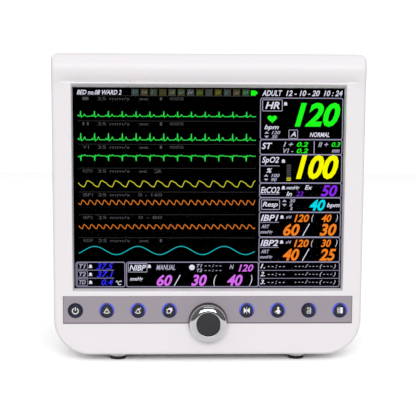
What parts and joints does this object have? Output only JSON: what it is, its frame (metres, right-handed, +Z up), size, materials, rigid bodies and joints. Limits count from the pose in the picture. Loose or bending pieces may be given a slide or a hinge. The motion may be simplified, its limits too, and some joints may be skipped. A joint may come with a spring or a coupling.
{
  "type": "patient monitor",
  "caption": "Bedside vital-signs monitor: white case with a rounded brow, flat display, strip of round keys and a chrome push-and-turn knob.",
  "frame": {"origin": "on the standing surface, below the middle of the box around the monitor", "axes": "+X to the viewer's right, +Y from the face to the rear, +Z up"},
  "size_m": [0.2824, 0.168, 0.2829],
  "materials": {
    "casing": "fine moulded texture, warm white",
    "control_strip": "satin mauve-grey overlay",
    "key_caps": "satin charcoal with light symbols",
    "light_guides": "translucent, lit blue",
    "chrome": "polished",
    "knob_cap": "fine matt texture",
    "steel": "zinc plated",
    "grey_plastic": "moulded",
    "black_plastic": "moulded",
    "circuit_board": "green solder mask",
    "display_window": "clear, polished",
    "display_panel": "lit display",
    "sheet_metal": "bright plated sheet",
    "ecg_green": "moulded",
    "spo2_blue": "moulded",
    "nibp_metal": "nickel plated",
    "co2_yellow": "moulded",
    "temp_brown": "moulded",
    "ibp_red": "moulded",
    "brass": "turned",
    "rubber": "matt"
  },
  "bodies": {
    "case": {"front_bezel": "casing", "rear_housing": "casing", "carry_handle": "casing", "battery_door": "casing", "control_strip": "control_strip", "left_light_guide": "light_guides", "right_light_guide": "light_guides", "case_screw_1": "steel", "case_screw_2": "steel", "case_screw_3": "steel", "case_screw_4": "steel", "door_screw_1": "steel", "door_screw_2": "steel", "encoder_body": "grey_plastic", "connector_panel": "grey_plastic", "nibp_valve": "grey_plastic", "network_socket": "grey_plastic", "battery_pack": "black_plastic", "nibp_pump": "black_plastic", "loudspeaker": "black_plastic", "mains_inlet": "black_plastic", "key_board": "circuit_board", "backlight_board": "circuit_board", "main_board": "circuit_board", "measuring_board": "circuit_board", "display_window": "display_window", "display_module": "display_panel", "display_bracket": "sheet_metal", "chassis_plate": "sheet_metal", "power_supply": "sheet_metal", "ecg_socket": "ecg_green", "spo2_socket": "spo2_blue", "nibp_fitting": "nibp_metal", "co2_socket": "co2_yellow", "temp1_socket": "temp_brown", "temp2_socket": "temp_brown", "ibp1_socket": "ibp_red", "ibp2_socket": "ibp_red", "equipotential_stud": "brass", "front_left_foot": "rubber", "front_right_foot": "rubber", "rear_left_foot": "rubber", "rear_right_foot": "rubber"},
    "power_key_cap": {"power_key": "key_caps"},
    "alarm_key_cap": {"alarm_key": "key_caps"},
    "alarm_silence_key_cap": {"alarm_silence_key": "key_caps"},
    "page_key_cap": {"page_key": "key_caps"},
    "freeze_key_cap": {"freeze_key": "key_caps"},
    "cuff_key_cap": {"cuff_key": "key_caps"},
    "lock_key_cap": {"lock_key": "key_caps"},
    "record_key_cap": {"record_key": "key_caps"},
    "encoder_switch": {"encoder_plunger": "grey_plastic"},
    "knob": {"encoder_shaft": "steel", "knob_body": "chrome", "knob_cap": "knob_cap"}
  },
  "joints": [
    {"name": "power_key_press", "type": "slide", "parent": "case", "child": "power_key_cap", "axis": [0, 1, 0], "range_m": [0, 0.001], "stiffness_N_per_m": 1000},
    {"name": "alarm_key_press", "type": "slide", "parent": "case", "child": "alarm_key_cap", "axis": [0, 1, 0], "range_m": [0, 0.001], "stiffness_N_per_m": 1000},
    {"name": "alarm_silence_key_press", "type": "slide", "parent": "case", "child": "alarm_silence_key_cap", "axis": [0, 1, 0], "range_m": [0, 0.001], "stiffness_N_per_m": 1000},
    {"name": "page_key_press", "type": "slide", "parent": "case", "child": "page_key_cap", "axis": [0, 1, 0], "range_m": [0, 0.001], "stiffness_N_per_m": 1000},
    {"name": "freeze_key_press", "type": "slide", "parent": "case", "child": "freeze_key_cap", "axis": [0, 1, 0], "range_m": [0, 0.001], "stiffness_N_per_m": 1000},
    {"name": "cuff_key_press", "type": "slide", "parent": "case", "child": "cuff_key_cap", "axis": [0, 1, 0], "range_m": [0, 0.001], "stiffness_N_per_m": 1000},
    {"name": "lock_key_press", "type": "slide", "parent": "case", "child": "lock_key_cap", "axis": [0, 1, 0], "range_m": [0, 0.001], "stiffness_N_per_m": 1000},
    {"name": "record_key_press", "type": "slide", "parent": "case", "child": "record_key_cap", "axis": [0, 1, 0], "range_m": [0, 0.001], "stiffness_N_per_m": 1000},
    {"name": "knob_push", "type": "slide", "parent": "case", "child": "encoder_switch", "axis": [0, 1, 0], "range_m": [0, 0.0008], "stiffness_N_per_m": 3000},
    {"name": "knob_spin", "type": "hinge", "parent": "encoder_switch", "child": "knob", "pos_m": [0, -0.072, 0.0388], "axis": [0, -1, 0], "continuous": true}
  ]
}
